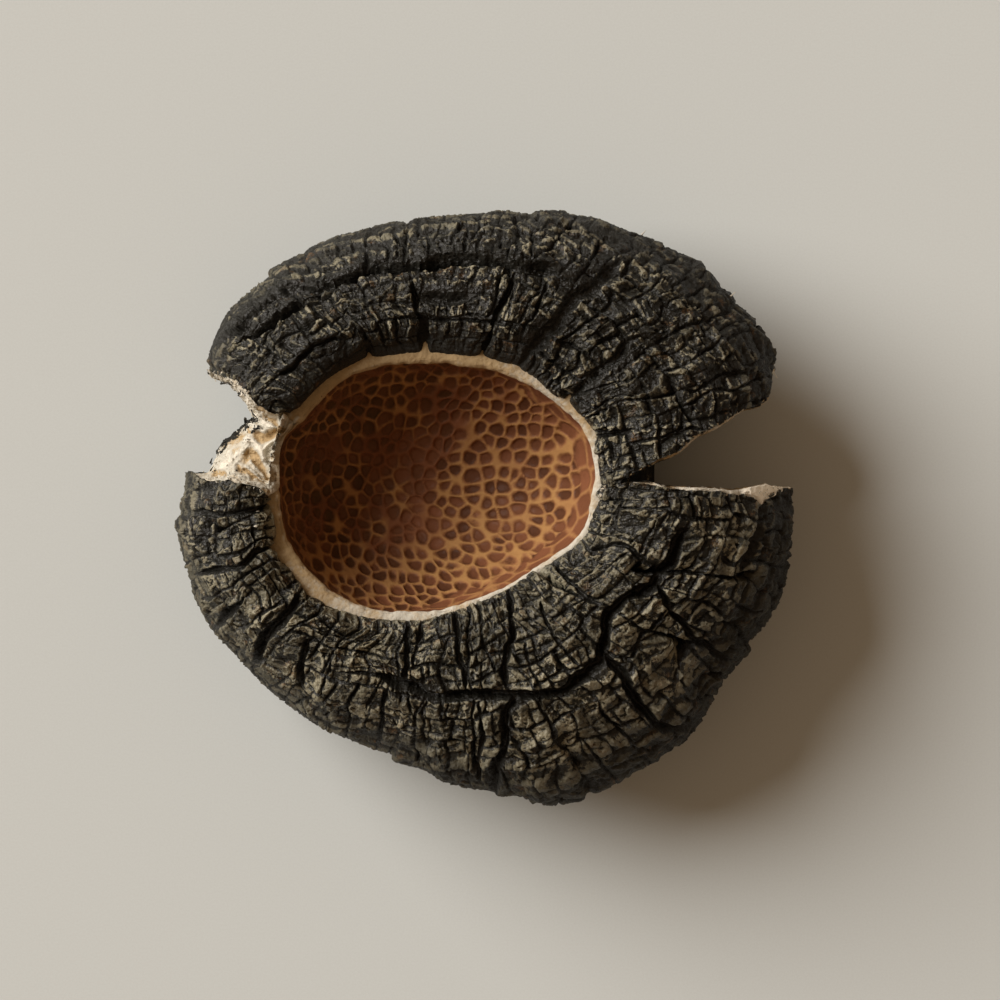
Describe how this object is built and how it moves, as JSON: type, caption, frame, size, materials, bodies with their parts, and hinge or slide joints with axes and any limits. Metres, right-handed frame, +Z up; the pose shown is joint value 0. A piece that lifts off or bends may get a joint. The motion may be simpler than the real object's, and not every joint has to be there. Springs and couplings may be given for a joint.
{
  "type": "chaga mushroom conk",
  "caption": "Bun-shaped chaga conk with a black checked crust, a deep oval netted hollow in its top, a wedge-shaped split, a torn-out bite and a flat cut to rest on.",
  "frame": {"origin": "centre of the object's box in plan, on the flat cut that it rests on", "axes": "+Z up out of the hollow, +X towards the wedge-shaped split, +Y to the left when looking along +X"},
  "size_m": [0.202, 0.1922, 0.0785],
  "materials": {
    "crust": "matt black charcoal-like crust, checked and cracked",
    "flesh": "dry, fibrous cream flesh, bare on the ring, in the bite and along the split, tan to ochre in the shade",
    "hollow": "smooth dark red-brown cells in a tan net, faintly glossy"
  },
  "bodies": {
    "root": {"chaga_conk": "crust"}
  },
  "joints": []
}
